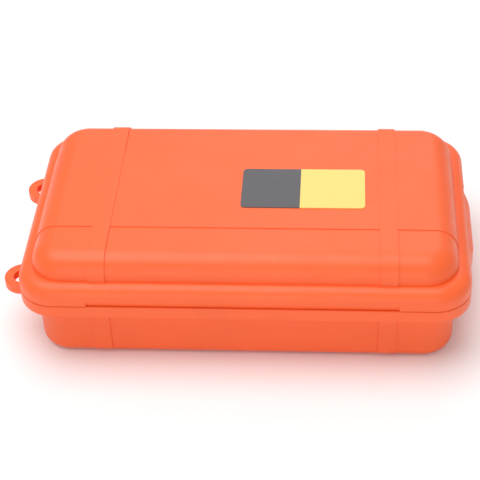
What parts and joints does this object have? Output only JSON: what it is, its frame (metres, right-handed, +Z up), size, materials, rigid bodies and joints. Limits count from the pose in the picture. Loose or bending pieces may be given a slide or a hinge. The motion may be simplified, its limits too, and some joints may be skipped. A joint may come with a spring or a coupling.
{
  "type": "first aid kit",
  "caption": "Shallow hinged plastic case with a sealed rim, lanyard eyes and an end latch, packed with first aid supplies.",
  "frame": {"origin": "centre of the flat underside of the base, midway along the case's width and over the middle of its rim length", "axes": "+Z up, +X along the case towards the latch, +Y across it"},
  "size_m": [0.1635, 0.092, 0.0421],
  "materials": {
    "case_orange": "satin moulded plastic",
    "seal_rubber": "soft black rubber",
    "pin_steel": "polished steel wire",
    "label_dark": "printed film",
    "label_yellow": "printed film",
    "crepe_cloth": "crinkled elastic weave",
    "gauze_cloth": "open cotton weave",
    "spool_plastic": "moulded plastic",
    "tape_cloth": "woven tape",
    "plaster_wrap": "coated paper wrap",
    "sachet_foil": "crimped foil laminate",
    "pad_wrap": "coated paper wrap",
    "blanket_foil": "thin bag over metallised film",
    "blade_steel": "ground steel",
    "grip_plastic": "moulded plastic"
  },
  "bodies": {
    "base": {"base_shell": "case_orange", "gasket": "seal_rubber", "hinge_pin": "pin_steel", "crepe_bandage": "crepe_cloth", "gauze_bandage": "gauze_cloth", "tape_spool": "spool_plastic", "tape_winding": "tape_cloth", "plaster_strips": "plaster_wrap", "wipe_sachets": "sachet_foil", "gauze_pads": "pad_wrap", "rescue_blanket": "blanket_foil", "scissors_blade_lower": "blade_steel", "scissors_blade_upper": "blade_steel", "scissors_grip_lower": "grip_plastic", "scissors_grip_upper": "grip_plastic", "scissors_rivet": "blade_steel", "tweezers": "blade_steel", "safety_pins": "pin_steel"},
    "lid": {"lid_shell": "case_orange", "latch_pin": "pin_steel", "label_dark": "label_dark", "label_yellow": "label_yellow"},
    "latch": {"latch_lever": "case_orange"}
  },
  "joints": [
    {"name": "lid_hinge", "type": "hinge", "parent": "base", "child": "lid", "pos_m": [-0.07545, 0, 0.0243], "axis": [0, -1, 0], "range_deg": [0, 95]},
    {"name": "latch_swing", "type": "hinge", "parent": "lid", "child": "latch", "pos_m": [0.075, 0, 0.0286], "axis": [0, -1, 0], "range_deg": [0, 75]}
  ]
}
